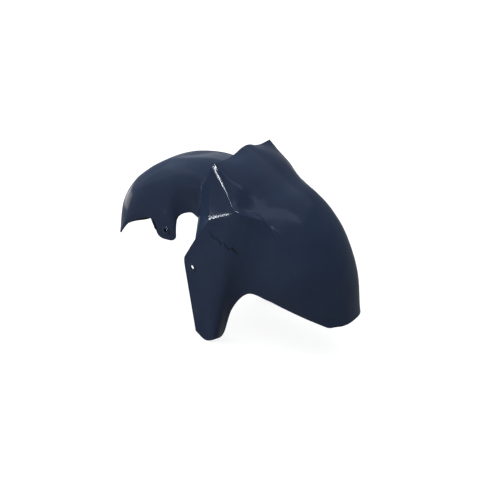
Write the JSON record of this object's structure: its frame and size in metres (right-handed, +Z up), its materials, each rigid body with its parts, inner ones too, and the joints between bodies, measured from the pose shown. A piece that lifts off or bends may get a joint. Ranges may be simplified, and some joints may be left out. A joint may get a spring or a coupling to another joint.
{
  "type": "motorcycle front mudguard",
  "caption": "Front mudguard for a road motorcycle: arched moulding with a raised deck, a long nose, fork guards down both sides and a rear section over the tyre.",
  "frame": {"origin": "midway between the two front bolt holes, on the plane of symmetry", "axes": "+X forward toward the nose, +Y to the left side, +Z up along the fork legs"},
  "size_m": [0.6275, 0.2522, 0.4085],
  "materials": {
    "painted_plastic": "gloss"
  },
  "bodies": {
    "root": {"mudguard": "painted_plastic"}
  },
  "joints": []
}
